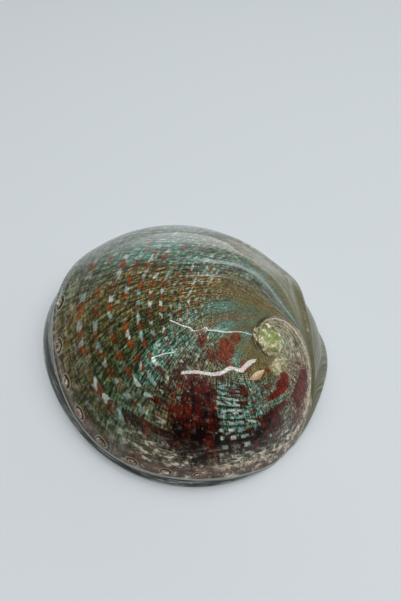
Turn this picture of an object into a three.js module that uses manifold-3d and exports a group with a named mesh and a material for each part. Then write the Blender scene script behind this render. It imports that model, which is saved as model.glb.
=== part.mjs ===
// An abalone shell lying on its rim, open side down: one thin curved wall that grew as one piece.
//
// Millimetres, +Z up. The growing edge points along +Y and the hole row runs down the left side, -X.
// The origin is on the resting plane, under the middle of the shell's bounding box.
//
// The wall is a dome with a flat rim. Everything on it follows one logarithmic spiral about the spire:
// the keel that carries the holes, the step between the whorls, and the folds that copy the lip.

import * as THREE from "three";
import { mergeVertices } from "three/addons/utils/BufferGeometryUtils.js";
import Module from "manifold-3d";

const DEGREE = Math.PI / 180;

// Driving dimensions of the dome, measured about its crown
const CROWN_HEIGHT = 35.6;
const RIM_MEAN_RADIUS = 50.8;
const RIM_WAVES = [
  { count: 1, size: 0.416, angle: 153 },
  { count: 2, size: 0.084, angle: 112 },
  { count: 3, size: 0.068, angle: -12 },
];
const CROWN_ROUNDNESS = 2.27; // 2 is a true ellipsoid, more is flatter on top
const SIDE_ROUNDNESS = 1.71; // 2 is a true ellipsoid, less is a softer shoulder

// The wall, and the ledge that thickens its left edge inside
const WALL_AT_CROWN = 2.6;
const WALL_AT_RIM = 2.2;
const LEDGE_WIDTH = 6;
const LEDGE_HEIGHT = 5;
const LEDGE_MIDDLE = 190; // degrees about the crown
const LEDGE_HALF_SPAN = 80;

// The spiral: spire place, radius law and its gentle departure from a perfect curve
const SPIRE = { x: -1.7, y: -22.9 };
const SPIRAL_RADIUS = 251; // where the keel would be at angle 0
const SPIRAL_TIGHTNESS = 0.5016; // loss of log radius for each radian back in time
const SPIRAL_WAVES = [
  { count: 1, size: 0.091, angle: 45 },
  { count: 2, size: 0.099, angle: 7 },
];
const SPIRAL_START = -100 * DEGREE; // where the last whorl leaves the one before it
const PARTING_SPAN = 60 * DEGREE; // over this turn the older whorl's edge changes from wall to step
const LIP_AT_KEEL = 95; // degrees about the spire where the lip meets the keel
const LIP_SWEEP = 100; // degrees that a straight lip would run back across the whorl
const LIP_CURVE = 45; // further degrees for the curve of the lip
const LIP_HOOK = 50; // and for its last turn along the older whorl
const LIP_BEND = 22; // degrees that the lip swings forward again between the shares below
const LIP_BEND_SHARES = [0.42, 0.92];

// Relief on the outside
const KEEL_HEIGHT = 1.2;
const KEEL_HALF_WIDTH = 4;
const KEEL_LEAST = 0.4; // share of that height at the spire, which grows to the whole height
const KEEL_GROWN_RADIUS = 30;
const KEEL_RISE_AGES = [5, 40]; // the edge rises from nothing at the young lip between these ages
const FRONT_AGES = [70, 120]; // between them the keel comes down to the front of the shell
const FRONT_EDGE_LOSS = 0.5;
const FRONT_FOOT_LOSS = 0.15;
const KEEL_EDGE = 1.9; // the edge runs this far outside the spiral, measured over the surface
const WALL_DROP_WIDTH = 2.6; // over which the edge drops to the hollow side wall
const GROOVE_DEPTH = 1.7; // of the side wall below the keel
const FOOT_FLARE = 2.3; // how far the side turns out again at its foot
const FOOT_HEIGHT = 7;
const STEP_WIDTH = 2.2; // over which one whorl drops to the next
const STEP_SHARE = 0.2; // but never more than this share of the older keel's radius
const KEEL_SHARE = 0.25; // and the keel's half width stays within this share of its own radius
const SPIRE_HEIGHT = 0.9;
const SPIRE_SPREAD = 7;
const FOLD_FREE_RADIUS = 14; // the folds die out between these distances from the spire
const FOLD_FULL_RADIUS = 30;
const FOLD_SHARES = [0.15, 0.5]; // and they rise between these shares of the whorl
const FOLDS = [
  { age: 10, height: 1.3, spread: 3 },
  { age: 24, height: 0.4, spread: 4 },
  { age: 38, height: 1.3, spread: 3.4 },
  { age: 49, height: 0.8, spread: 3.2 },
];
const LAST_BAND_DROP = 1.6; // the youngest growth on the right sits lower than the folds above it
const LAST_BAND_AGES = [1, 8];
const LAST_BAND_SHARES = [0.45, 0.6];

// The open holes on the keel, youngest first
const HOLE_ANGLES = [132.6, 145.7, 156.3, 166.2, 177]; // degrees about the spire
const HOLE_INSET = 1.2; // the youngest holes sit this far inside the spiral
const INSET_ENDS = [149, 183]; // degrees about the spire between which they come out to it
const HOLE_LENGTH_RATIO = 0.0165; // half length along the keel, as a share of the keel's radius
const HOLE_WIDTH_RATIO = 0.0095;
const HOLE_SIDES = 14;
const CUTTER_REACH = 9;

// Fineness of the wall's facets
const COLUMNS = 100;
const OUTER_RINGS = 34;
const INNER_RINGS = 13;

const smooth = (from, to, value) => THREE.MathUtils.smoothstep(value, from, to);
const wave = ({ count, size, angle }, turn) => size * Math.cos(count * (turn - angle * DEGREE));
const sumOfWaves = (waves, turn) => waves.reduce((sum, item) => sum + wave(item, turn), 0);

function rimRadius(turn) {
  return RIM_MEAN_RADIUS * (1 + sumOfWaves(RIM_WAVES, turn));
}

// A point of a dome with the given rim radius and height; slope runs from 0 at the crown to 90 degrees
function domePoint(turn, slope, radius, height) {
  const reach = radius * Math.sin(slope) ** (2 / CROWN_ROUNDNESS);
  const z = height * Math.max(Math.cos(slope), 0) ** (2 / SIDE_ROUNDNESS);
  return new THREE.Vector3(reach * Math.cos(turn), reach * Math.sin(turn), z);
}

function outerDome(turn, slope) {
  return domePoint(turn, slope, rimRadius(turn), CROWN_HEIGHT);
}

function outerNormal(turn, slope) {
  const nudge = 0.01;
  const low = Math.max(slope - nudge, nudge);
  const high = Math.min(slope + nudge, Math.PI / 2);
  const across = outerDome(turn + nudge, slope).sub(outerDome(turn - nudge, slope));
  const down = outerDome(turn, high).sub(outerDome(turn, low));
  const normal = down.cross(across).normalize();
  return slope > Math.PI / 2 - nudge ? normal.setZ(0).normalize() : normal;
}

function keelRadius(angle) {
  const bend = sumOfWaves(SPIRAL_WAVES, angle);
  return SPIRAL_RADIUS * Math.exp(bend - SPIRAL_TIGHTNESS * angle);
}

// The lip's angle about the spire where it crosses the given share of the whorl
function lipAngle(share) {
  const inward = Math.max(share, 0);
  const bend = LIP_BEND * smooth(...LIP_BEND_SHARES, inward);
  return LIP_AT_KEEL - LIP_SWEEP * inward - LIP_CURVE * inward ** 3 - LIP_HOOK * inward ** 40 + bend;
}

// Where a point of the plan lies on the spiral: its angle counted back through the whorls, the share of
// a whorl between it and its own keel (negative on the side wall outside), and its growth age in degrees
function spiralPlace(x, y) {
  const radius = Math.max(Math.hypot(x - SPIRE.x, y - SPIRE.y), 0.2);
  let angle = Math.atan2(y - SPIRE.y, x - SPIRE.x);
  if (angle < SPIRAL_START) angle += 2 * Math.PI;
  let share = Math.log(keelRadius(angle) / radius) / (2 * Math.PI * SPIRAL_TIGHTNESS);
  const whorlsBack = Math.max(Math.floor(share), 0);
  angle += 2 * Math.PI * whorlsBack;
  share -= whorlsBack;
  return { radius, angle, share, age: angle / DEGREE - lipAngle(share) };
}

const hump = (offset, spread) => Math.exp(-((offset / spread) ** 2));

// Slope of the dome below a point of the plan
function slopeAt(x, y) {
  const share = Math.min(Math.hypot(x, y) / rimRadius(Math.atan2(y, x)), 1);
  return Math.asin(share ** (CROWN_ROUNDNESS / 2));
}

// The place on the smooth dome at an angle about the spire and a plan distance from it
function domePlace(angle, reach) {
  const x = SPIRE.x + reach * Math.cos(angle);
  const y = SPIRE.y + reach * Math.sin(angle);
  const turn = Math.atan2(y, x);
  const slope = slopeAt(x, y);
  return { point: outerDome(turn, slope), normal: outerNormal(turn, slope) };
}

// Distance outside the keel, measured over the surface: out and down the side wall
function beyondKeel(z, radius, angle) {
  const keel = keelRadius(angle);
  const fall = domePlace(angle, keel).point.z - z;
  return Math.hypot(radius - keel, Math.max(fall, 0));
}

// Height of the keel's edge: it grows with the whorl, fades at the young lip and is lower at the front
function edgeHeight(keel, age) {
  const grown = KEEL_HEIGHT * Math.min(1, KEEL_LEAST + keel / KEEL_GROWN_RADIUS);
  return grown * smooth(...KEEL_RISE_AGES, age) * (1 - FRONT_EDGE_LOSS * smooth(...FRONT_AGES, age));
}

// Height of the relief above the smooth dome at one of its points
function relief(point) {
  const { radius, angle, share, age } = spiralPlace(point.x, point.y);
  const keel = keelRadius(angle);
  const edge = edgeHeight(keel, age);
  const spire = SPIRE_HEIGHT * hump(radius, SPIRE_SPREAD);
  const foot = FOOT_FLARE * (1 - FRONT_FOOT_LOSS * smooth(...FRONT_AGES, age))
    * (1 - smooth(0, FOOT_HEIGHT, point.z));
  if (share < 0) {
    const drop = smooth(KEEL_EDGE, KEEL_EDGE + WALL_DROP_WIDTH, beyondKeel(point.z, radius, angle));
    return spire + edge - (edge + GROOVE_DEPTH - foot) * drop;
  }
  const olderAngle = angle + 2 * Math.PI;
  const olderKeel = keelRadius(olderAngle);
  const parting = 1 - smooth(SPIRAL_START, SPIRAL_START + PARTING_SPAN, angle);
  const pastOlder = beyondKeel(point.z, radius, olderAngle) - KEEL_EDGE * parting;
  const narrowStep = Math.min(STEP_WIDTH, STEP_SHARE * olderKeel);
  const stepWidth = THREE.MathUtils.lerp(narrowStep, WALL_DROP_WIDTH, parting);
  const climb = 1 - smooth(0, stepWidth, pastOlder);
  const own = edge * hump(keel - radius, Math.min(KEEL_SHARE * keel, KEEL_HALF_WIDTH));
  const folds = FOLDS.reduce((sum, fold) => sum + fold.height * hump(age - fold.age, fold.spread), 0)
    * smooth(...FOLD_SHARES, share) * smooth(FOLD_FREE_RADIUS, FOLD_FULL_RADIUS, radius);
  const lastBand = (LAST_BAND_DROP - foot) * (1 - smooth(...LAST_BAND_AGES, age))
    * smooth(...LAST_BAND_SHARES, share);
  return spire + (own + folds - lastBand) * (1 - climb) + edgeHeight(olderKeel, age + 360) * climb;
}

function outerPoint(turn, slope) {
  const point = outerDome(turn, slope);
  return point.addScaledVector(outerNormal(turn, slope), relief(point));
}

// The inside copies the dome a wall's thickness in, with the flat ledge along the left edge. Where the
// outside is hollow it gives way too, so that the wall stays thick.
function innerPoint(turn, slope) {
  const radius = rimRadius(turn) - WALL_AT_RIM;
  const point = domePoint(turn, slope, radius, CROWN_HEIGHT - WALL_AT_CROWN);
  const fromMiddle = Math.atan2(
    Math.sin(turn - LEDGE_MIDDLE * DEGREE), Math.cos(turn - LEDGE_MIDDLE * DEGREE));
  const along = smooth(0, 0.5, 1 - Math.abs(fromMiddle) / (LEDGE_HALF_SPAN * DEGREE));
  const ledge = LEDGE_WIDTH * along * (1 - smooth(0.3 * LEDGE_HEIGHT, LEDGE_HEIGHT, point.z));
  const shrink = 1 - ledge / Math.max(Math.hypot(point.x, point.y), LEDGE_WIDTH);
  const hollow = Math.min(relief(outerDome(turn, slope)), 0);
  return point.multiply(new THREE.Vector3(shrink, shrink, 1))
    .addScaledVector(outerNormal(turn, slope), hollow);
}

// One ring after another from the outer crown over the rim to the inner crown, closed at both ends
function wallGeometry() {
  const rings = [];
  for (let i = 1; i <= OUTER_RINGS; i += 1) {
    const slope = (i / OUTER_RINGS) * (Math.PI / 2);
    rings.push((turn) => outerPoint(turn, slope));
  }
  for (let i = INNER_RINGS; i >= 1; i -= 1) {
    const slope = (i / INNER_RINGS) * (Math.PI / 2);
    rings.push((turn) => innerPoint(turn, slope));
  }
  const points = [outerPoint(0, 0)];
  for (const ring of rings) {
    for (let j = 0; j < COLUMNS; j += 1) {
      points.push(ring((j / COLUMNS) * 2 * Math.PI));
    }
  }
  points.push(innerPoint(0, 0));

  const triangles = [];
  const at = (ring, column) => 1 + ring * COLUMNS + (column % COLUMNS);
  for (let j = 0; j < COLUMNS; j += 1) {
    triangles.push(0, at(0, j), at(0, j + 1));
    for (let i = 0; i < rings.length - 1; i += 1) {
      triangles.push(at(i, j), at(i + 1, j), at(i + 1, j + 1));
      triangles.push(at(i, j), at(i + 1, j + 1), at(i, j + 1));
    }
    triangles.push(points.length - 1, at(rings.length - 1, j + 1), at(rings.length - 1, j));
  }
  const geometry = new THREE.BufferGeometry().setFromPoints(points);
  geometry.setIndex(triangles);
  return geometry;
}

// A cutter for one hole: an oval bar square to the wall, long along the keel
function holeCutter(degrees) {
  const angle = degrees * DEGREE;
  const ahead = angle + 0.01;
  const inset = HOLE_INSET * (1 - smooth(...INSET_ENDS, degrees));
  const { point: centre, normal } = domePlace(angle, keelRadius(angle) - inset);
  const along = domePlace(ahead, keelRadius(ahead) - inset).point.sub(centre);
  along.addScaledVector(normal, -along.dot(normal)).normalize();
  const across = new THREE.Vector3().crossVectors(along, normal);
  const bar = new THREE.CylinderGeometry(1, 1, 2 * CUTTER_REACH, HOLE_SIDES);
  bar.scale(keelRadius(angle) * HOLE_LENGTH_RATIO, 1, keelRadius(angle) * HOLE_WIDTH_RATIO);
  const place = new THREE.Matrix4().makeBasis(along, normal, across);
  return bar.applyMatrix4(place.setPosition(centre));
}

const wasm = await Module();
wasm.setup();

function toSolid(geometry) {
  geometry.deleteAttribute("normal");
  geometry.deleteAttribute("uv");
  const merged = mergeVertices(geometry);
  return new wasm.Manifold(new wasm.Mesh({
    numProp: 3,
    vertProperties: new Float32Array(merged.attributes.position.array),
    triVerts: new Uint32Array(merged.index.array),
  }));
}

function toGeometry(solid) {
  const mesh = solid.getMesh();
  const geometry = new THREE.BufferGeometry();
  geometry.setAttribute("position", new THREE.BufferAttribute(mesh.vertProperties, 3));
  geometry.setIndex(new THREE.BufferAttribute(mesh.triVerts, 1));
  geometry.computeVertexNormals();
  return geometry;
}

function shellGeometry() {
  let solid = toSolid(wallGeometry());
  for (const degrees of HOLE_ANGLES) {
    solid = solid.subtract(toSolid(holeCutter(degrees)));
  }
  const geometry = toGeometry(solid);
  geometry.computeBoundingBox();
  const middle = geometry.boundingBox.getCenter(new THREE.Vector3());
  return geometry.translate(-middle.x, -middle.y, -geometry.boundingBox.min.z);
}

const lacqueredShell = new THREE.MeshStandardMaterial({
  color: 0x5f644b,
  roughness: 0.12,
  metalness: 0,
});

const shell = new THREE.Mesh(shellGeometry(), lacqueredShell);
shell.name = "abalone_shell";

const part = new THREE.Group();
part.add(shell);

export default part;
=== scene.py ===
# %% [markdown]
# # A polished abalone shell
#
# The shell is one thin wall that the animal grew from the spire outwards. It is modelled here as one mesh
# worked out from a few formulas: a dome, a logarithmic spiral drawn on it, and the relief that follows
# that spiral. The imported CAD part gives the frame, the size and the place. This script gives the same wall
# a finer surface, its colours and its gloss, and then the light and the view.

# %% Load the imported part
import math
import bpy
import numpy as np
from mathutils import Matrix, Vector


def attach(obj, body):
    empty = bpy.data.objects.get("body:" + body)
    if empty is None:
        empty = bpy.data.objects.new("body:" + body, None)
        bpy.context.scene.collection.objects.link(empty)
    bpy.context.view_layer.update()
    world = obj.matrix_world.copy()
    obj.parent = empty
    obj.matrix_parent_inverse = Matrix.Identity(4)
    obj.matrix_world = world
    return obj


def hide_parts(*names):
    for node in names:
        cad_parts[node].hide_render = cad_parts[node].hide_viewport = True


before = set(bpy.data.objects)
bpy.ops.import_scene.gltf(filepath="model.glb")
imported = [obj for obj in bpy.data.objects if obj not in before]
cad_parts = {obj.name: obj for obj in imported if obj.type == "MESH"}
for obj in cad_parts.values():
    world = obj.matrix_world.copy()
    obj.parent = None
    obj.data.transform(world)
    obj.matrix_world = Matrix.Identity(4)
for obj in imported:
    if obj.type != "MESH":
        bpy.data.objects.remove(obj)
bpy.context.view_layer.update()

# %% [markdown]
# ## The dome
#
# A real abalone's outline is an oval with one fuller side, so three gentle waves on a circle draw it.
# The cross section is a dome that is a little flatter on top and steeper at the sides than an ellipse.
# A formula is better than a sculpted mesh here, because the growth lines, the holes and the colours all
# have to follow the same curves later.

# %% Dome formulas, in millimetres about the crown
MM = 0.001
DEGREE = math.pi / 180
CROWN_HEIGHT = 35.6
RIM_MEAN_RADIUS = 50.8
RIM_WAVES = ((1, 0.416, 153), (2, 0.084, 112), (3, 0.068, -12))  # count, size, angle
CROWN_ROUNDNESS = 2.27
SIDE_ROUNDNESS = 1.71
LIP_LIFT = 0.5  # the sides end this high, where the rounded lip starts


def sum_of_waves(waves, turn):
    return sum(size * np.cos(count * (turn - angle * DEGREE)) for count, size, angle in waves)


def rim_radius(turn):
    return RIM_MEAN_RADIUS * (1 + sum_of_waves(RIM_WAVES, turn))


def dome(turn, slope, radius, height):
    reach = radius * np.sin(slope) ** (2 / CROWN_ROUNDNESS)
    z = height * np.maximum(np.cos(slope), 0) ** (2 / SIDE_ROUNDNESS)
    z = z + LIP_LIFT * (1 - z / height)
    return np.stack([reach * np.cos(turn), reach * np.sin(turn), z], -1)


def outer_dome(turn, slope):
    return dome(turn, slope, rim_radius(turn), CROWN_HEIGHT)


def unit(vectors):
    return vectors / np.maximum(np.linalg.norm(vectors, axis=-1, keepdims=True), 1e-12)


def outer_normal(turn, slope):
    nudge = 0.004
    low = np.maximum(slope - nudge, nudge)
    high = np.minimum(slope + nudge, math.pi / 2)
    across = outer_dome(turn + nudge, slope) - outer_dome(turn - nudge, slope)
    down = outer_dome(turn, high) - outer_dome(turn, low)
    normal = unit(np.cross(down, across))
    level = unit(normal * np.array([1, 1, 0]))
    at_rim = (slope > math.pi / 2 - nudge)[..., None]
    return np.where(at_rim, level, normal)


print("rim radius from", round(rim_radius(-27 * DEGREE), 1), "to", round(rim_radius(135 * DEGREE), 1), "mm")

# %% [markdown]
# ## The spiral
#
# The shell keeps its proportions as it grows, so every line on it is a logarithmic spiral about the spire
# or a copy of the lip. Two numbers place any point: its age, in degrees of growth back from the lip, and
# its share, which runs from 0 on the keel with the holes to 1 at the step to the older whorl. Relief and
# colour are both drawn in age and share, as a real shell lays them down.

# %% Growth coordinates
SPIRE = (-1.7, -22.9)
SPIRAL_RADIUS = 251
SPIRAL_TIGHTNESS = 0.5016
SPIRAL_WAVES = ((1, 0.091, 45), (2, 0.099, 7))
SPIRAL_START = -100 * DEGREE
PARTING_SPAN = 60 * DEGREE  # over this turn the older whorl's edge changes from a side wall to a step
LIP_AT_KEEL = 95  # the growth angle of the lip where it meets the keel
LIP_SWEEP, LIP_CURL, LIP_HOOK = 100, 45, 50  # how far the lip runs back from there: evenly, late, at the end
LIP_BEND = 22
LIP_BEND_SHARES = (0.42, 0.92)


def smooth(start, end, value):
    t = np.clip((value - start) / (end - start), 0, 1)
    return t * t * (3 - 2 * t)


def keel_radius(angle):
    return SPIRAL_RADIUS * np.exp(sum_of_waves(SPIRAL_WAVES, angle) - SPIRAL_TIGHTNESS * angle)


def lip_angle(share):
    inward = np.maximum(share, 0)
    bend = LIP_BEND * smooth(*LIP_BEND_SHARES, inward)
    return LIP_AT_KEEL - LIP_SWEEP * inward - LIP_CURL * inward**3 - LIP_HOOK * inward**40 + bend


def spiral_place(x, y):
    radius = np.maximum(np.hypot(x - SPIRE[0], y - SPIRE[1]), 0.2)
    angle = np.arctan2(y - SPIRE[1], x - SPIRE[0])
    angle = np.where(angle < SPIRAL_START, angle + 2 * math.pi, angle)
    share = np.log(keel_radius(angle) / radius) / (2 * math.pi * SPIRAL_TIGHTNESS)
    whorls_back = np.maximum(np.floor(share), 0)
    angle = angle + 2 * math.pi * whorls_back
    share = share - whorls_back
    age = angle / DEGREE - lip_angle(share)
    return radius, angle, share, age


print("keel radius at the lip", round(float(keel_radius(LIP_AT_KEEL * DEGREE)), 1), "mm")

# %% [markdown]
# ## The holes
#
# An abalone breathes through a row of holes on the keel. The youngest few are open and the older ones are
# grown over with nacre. They sit at even steps of growth and get smaller back along the spiral. Their
# places are needed first, because the wall swells into a small raised ring round each one.

# %% Places of the holes
HOLE_FIRST_ANGLE = 131
HOLE_STEP = 11.5
HOLE_NUDGES = (1.6, 3.2, 2.3, 0.7)  # the youngest holes sit a little late
OPEN_HOLES = 5
ALL_HOLES = 15
HOLE_LENGTH_RATIO = 0.0165
HOLE_WIDTH_RATIO = 0.0095
HOLE_INSET = 1.2  # the youngest holes sit this far inside the keel
INSET_FADE = (2.6, 3.2)  # over these spiral angles, in radians, the row comes back onto the keel


def slope_at(x, y):
    share_of_rim = np.minimum(np.hypot(x, y) / rim_radius(np.arctan2(y, x)), 1)
    return np.arcsin(share_of_rim ** (CROWN_ROUNDNESS / 2))


def turn_and_slope(angle, reach):
    x, y = SPIRE[0] + reach * np.cos(angle), SPIRE[1] + reach * np.sin(angle)
    return np.arctan2(y, x), slope_at(x, y)


def keel_point(angle):
    inset = HOLE_INSET * (1 - smooth(*INSET_FADE, angle))
    place = turn_and_slope(angle, keel_radius(angle) - inset)
    return outer_dome(*place), outer_normal(*place)


def beyond_keel(points, radius, angle):
    """Distance outside the keel, measured over the surface: out and down the side wall."""
    out = radius - keel_radius(angle)
    keel_height = outer_dome(*turn_and_slope(angle, keel_radius(angle)))[..., 2]
    return np.where(out > 0, np.hypot(out, np.maximum(keel_height - points[..., 2], 0)), out)


def make_hole(index):
    nudge = HOLE_NUDGES[index] if index < len(HOLE_NUDGES) else 0
    angle = (HOLE_FIRST_ANGLE + HOLE_STEP * index + nudge) * DEGREE
    centre, normal = keel_point(np.array(angle))
    ahead, _ = keel_point(np.array(angle + 0.01))
    along = ahead - centre
    along = unit(along - normal * (along @ normal))
    keel = float(keel_radius(angle))
    return {
        "centre": centre,
        "normal": normal,
        "along": along,
        "across": np.cross(along, normal),
        "half_length": keel * HOLE_LENGTH_RATIO,
        "half_width": keel * HOLE_WIDTH_RATIO,
        "open": index < OPEN_HOLES,
    }


holes = [make_hole(index) for index in range(ALL_HOLES)]
print(len(holes), "holes,", OPEN_HOLES, "open, the first", round(2 * holes[0]["half_length"], 1), "mm long")

# %% [markdown]
# ## Relief of the outside
#
# The relief is a height in millimetres along the dome's normal: the keel and its drop to the side wall, the
# step where a whorl rides on the older one, the swollen spire, the folds where growth paused, and a slow
# unevenness that polishing leaves. The wavy bright lines on a polished shell come from that unevenness.

# %% Relief values, in millimetres and degrees of age
KEEL_HEIGHT = 1.2
KEEL_HALF_WIDTH = 4.0
KEEL_EDGE = 1.9  # the sharp crest runs this far outside the keel's spiral
CREST_HEIGHT = 0.35
CREST_WIDTH = 0.7
WALL_DROP_WIDTH = 2.6
GROOVE_DEPTH = 1.7
FOOT_FLARE = 2.3  # how far the side turns out again at its foot
FOOT_HEIGHT = 7
STEP_WIDTH = 1.1
SPIRE_HEIGHT = 1.2
SPIRE_SPREAD = 9
KNOB_HEIGHT = 0.45
KNOB_RADIUS = 4.7
RIB_HEIGHT = 0.07
RIB_STEP = 8
FOLDS = ((10, 1.3, 2.6), (24, 0.4, 4), (38, 1.3, 3), (49, 0.8, 2.8), (63, 0.12, 3.5), (94, 0.06, 3))
LAST_BAND_DROP = 1.6  # the youngest growth on the right sits lower than the folds above it
print("folds at ages", [at for at, _, _ in FOLDS], "and ribs every", RIB_STEP, "degrees of growth")


# %% [markdown]
# ## Rings round the holes
#
# The animal lifts the wall round each hole into a low mound with a raised ring. Distance is counted in half
# lengths of the hole's own oval, so one formula serves every size. A sealed hole keeps a shallow pit instead
# of an opening, because nacre closed it from the inside.

# %% Relief of the holes
HOLE_RING = 0.5
HOLE_MOUND = 0.7
SEALED_PIT = 0.3
RING_AT, RING_WIDTH, MOUND_WIDTH, PIT_WIDTH = 1.45, 0.4, 3.2, 0.8  # in half lengths of the hole
HOLE_DEPTH = 6  # a point further than this from the outer skin counts as further from the hole


def hole_distance(points, hole):
    offset = points - hole["centre"]
    along = offset @ hole["along"] / hole["half_length"]
    across = offset @ hole["across"] / hole["half_width"]
    return np.hypot(along, across) + np.maximum(np.abs(offset @ hole["normal"]) - HOLE_DEPTH, 0)


def bell(value, width):
    return np.exp(-((value / width) ** 2))


def hole_relief(points):
    total = np.zeros(points.shape[:-1])
    for hole in holes:
        distance = hole_distance(points, hole)
        size = hole["half_length"] / holes[0]["half_length"]
        ring = HOLE_RING * bell(distance - RING_AT, RING_WIDTH)
        mound = HOLE_MOUND * bell(distance, MOUND_WIDTH)
        pit = 0 if hole["open"] else SEALED_PIT * bell(distance, PIT_WIDTH)
        total = total + size * (ring + mound - pit)
    return total


print("mounds reach", round(MOUND_WIDTH * holes[0]["half_length"], 1), "mm from the largest hole")

# %% [markdown]
# ## Relief of the whorl
#
# Each term below is one thing the animal or the polisher did: the keel's edge rises as the shell grows, folds
# mark pauses, the spire keeps its old ribs, and polishing leaves slow hollows. Sines with fixed phases stand
# for the hollows, so that the mesh comes out the same every time.

# %% Height of the keel's edge, and the polisher's unevenness
FRONT_AGES = (70, 120)  # the keel and the flare at the foot get lower over these ages, on the front side
LIP_AGES = (5, 40)  # the keel is still low near the growing lip
FRONT_KEEL_LOSS = 0.5
FRONT_FLARE_LOSS = 0.15
SMALLEST_KEEL = 0.4  # the share of its height that the keel starts with at the spire
FULL_KEEL_RADIUS = 30
SLOW_HOLLOWS, QUICK_HOLLOWS, ROUND_HOLLOWS = 0.08, 0.012, 0.03


def edge_height(keel, age):
    low_at_lip = smooth(*LIP_AGES, age)
    low_at_front = 1 - FRONT_KEEL_LOSS * smooth(*FRONT_AGES, age)
    grown = np.minimum(1, SMALLEST_KEEL + keel / FULL_KEEL_RADIUS)
    return KEEL_HEIGHT * grown * low_at_lip * low_at_front


def ripples(x, y, size, layers=7):
    """A fixed uneven pattern about zero: a few waves of about the same length in spread directions."""
    total = 0
    for layer in range(layers):
        turn, phase = 2.4 * layer, 1.7 * layer * layer
        waves = (x * math.cos(turn) + y * math.sin(turn)) * 2 * math.pi / (size * (1 + 0.09 * layer))
        total = total + np.sin(waves + phase)
    return total / layers


def unevenness(x, y, age, share):
    slow = np.sin(age / 9.0 + 5 * share) * np.sin(11 * share + age / 23.0)
    quick = np.sin(age / 3.1 + 1.3 * np.sin(share * 17))
    return SLOW_HOLLOWS * slow + QUICK_HOLLOWS * quick + ROUND_HOLLOWS * ripples(x, y, 9)


print("keel edge at mid age", round(float(edge_height(40.0, 60.0)), 2), "mm high")


# %% The step to the older whorl, and the spire
RIB_AGES = (150, 220)
WORN_AGES = (190, 215)
WORN_RADII = (9, 15)  # the wear on the oldest whorl fades out over these distances from the spire
KNOB_SHOULDER = (KNOB_RADIUS - 0.9, KNOB_RADIUS + 0.2)
KNOB_FOOT = (4, 5)
STEP_RATIO = 0.2  # the step is at most this share of the older keel's radius
WEAR_HEIGHT = 0.1
WEAR_SIZE = 1.9


def crest_at(from_edge):
    return CREST_HEIGHT * bell(from_edge, CREST_WIDTH)


def past_older_keel(points, radius, angle):
    """Distance over the surface past the edge of the older whorl, whose edge widens where the whorls part."""
    parting = 1 - smooth(SPIRAL_START, SPIRAL_START + PARTING_SPAN, angle)
    return beyond_keel(points, radius, angle + 2 * math.pi) - KEEL_EDGE * parting, parting


def climb_to_older(points, radius, angle):
    """1 on top of the older whorl, 0 on the open surface, and the soft step between them."""
    past_older, parting = past_older_keel(points, radius, angle)
    narrow = np.minimum(STEP_WIDTH, STEP_RATIO * keel_radius(angle + 2 * math.pi))
    step_width = narrow + (WALL_DROP_WIDTH - narrow) * parting
    return 1 - smooth(0, step_width, past_older), past_older, parting


def spire_relief(x, y, radius, age):
    knob = KNOB_HEIGHT * (1 - smooth(*KNOB_SHOULDER, radius))
    ribs = RIB_HEIGHT * np.sin(age * 2 * math.pi / RIB_STEP) * smooth(*RIB_AGES, age)
    worn = ribs + WEAR_HEIGHT * ripples(x, y, WEAR_SIZE)
    worn = worn * smooth(*KNOB_FOOT, radius) * (1 - smooth(*WORN_RADII, radius)) * smooth(*WORN_AGES, age)
    return SPIRE_HEIGHT * bell(radius, SPIRE_SPREAD) + knob + worn


spire_top = spire_relief(np.array(0.0), np.array(0.0), np.array(0.2), np.array(300.0))
print("spire stands", round(float(spire_top), 2), "mm above the dome")

# %% The whole relief
CREST_AGES = (15, 45)
LAST_BAND_AGES = (1, 8)
LAST_BAND_SHARES = (0.45, 0.6)
FOLD_SHARES = (0.15, 0.5)
FOLD_RADII = (8, 20)
UNEVEN_SHARES = (0, 0.1)
UNEVEN_RADII = (6, 22)
SHOULDER_RATIO = 0.25  # the keel's shoulder is at most this share of the keel's radius


def relief(points):
    x, y = points[..., 0], points[..., 1]
    radius, angle, share, age = spiral_place(x, y)
    keel = keel_radius(angle)
    flare = FOOT_FLARE * (1 - FRONT_FLARE_LOSS * smooth(*FRONT_AGES, age))
    foot = flare * (1 - smooth(0, FOOT_HEIGHT, points[..., 2]))

    outward = beyond_keel(points, radius, angle)
    edge = edge_height(keel, age)
    crest = crest_at(outward - KEEL_EDGE) * smooth(*CREST_AGES, age)
    wall_drop = smooth(KEEL_EDGE, KEEL_EDGE + WALL_DROP_WIDTH, outward)
    side_wall = edge + crest - (edge + GROOVE_DEPTH - foot) * wall_drop

    climb, past_older, parting = climb_to_older(points, radius, angle)
    shoulder = edge * bell(keel - radius, np.minimum(SHOULDER_RATIO * keel, KEEL_HALF_WIDTH))
    folds = sum(height * bell(age - at, spread) for at, height, spread in FOLDS)
    folds = folds * smooth(*FOLD_SHARES, share) * smooth(*FOLD_RADII, radius)
    uneven = unevenness(x, y, age, share)
    uneven = uneven * smooth(*UNEVEN_SHARES, share) * smooth(*UNEVEN_RADII, radius)
    last_band = (LAST_BAND_DROP - foot) * (1 - smooth(*LAST_BAND_AGES, age))
    last_band = last_band * smooth(*LAST_BAND_SHARES, share)
    older_keel = keel_radius(angle + 2 * math.pi)
    older_edge = edge_height(older_keel, age + 360) + crest_at(past_older) * parting
    whorl = (shoulder + folds + uneven - last_band) * (1 - climb) + older_edge * climb

    spire = spire_relief(x, y, radius, age)
    return spire + np.where(share < 0, side_wall, whorl) + hole_relief(points)


crown_relief = relief(outer_dome(np.array([0.0]), np.array([0.0])))
print("relief at the crown", round(float(crown_relief[0]), 2), "mm")


# %% [markdown]
# ## The wall
#
# The wall is rings of points from the crown down the outside, round the lip and up the inside. Built this
# way it is one closed skin with even quads, which takes smooth shading well. The inside copies the dome
# a wall's thickness in, with the flat ledge that abalones have along the side with the holes.

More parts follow.
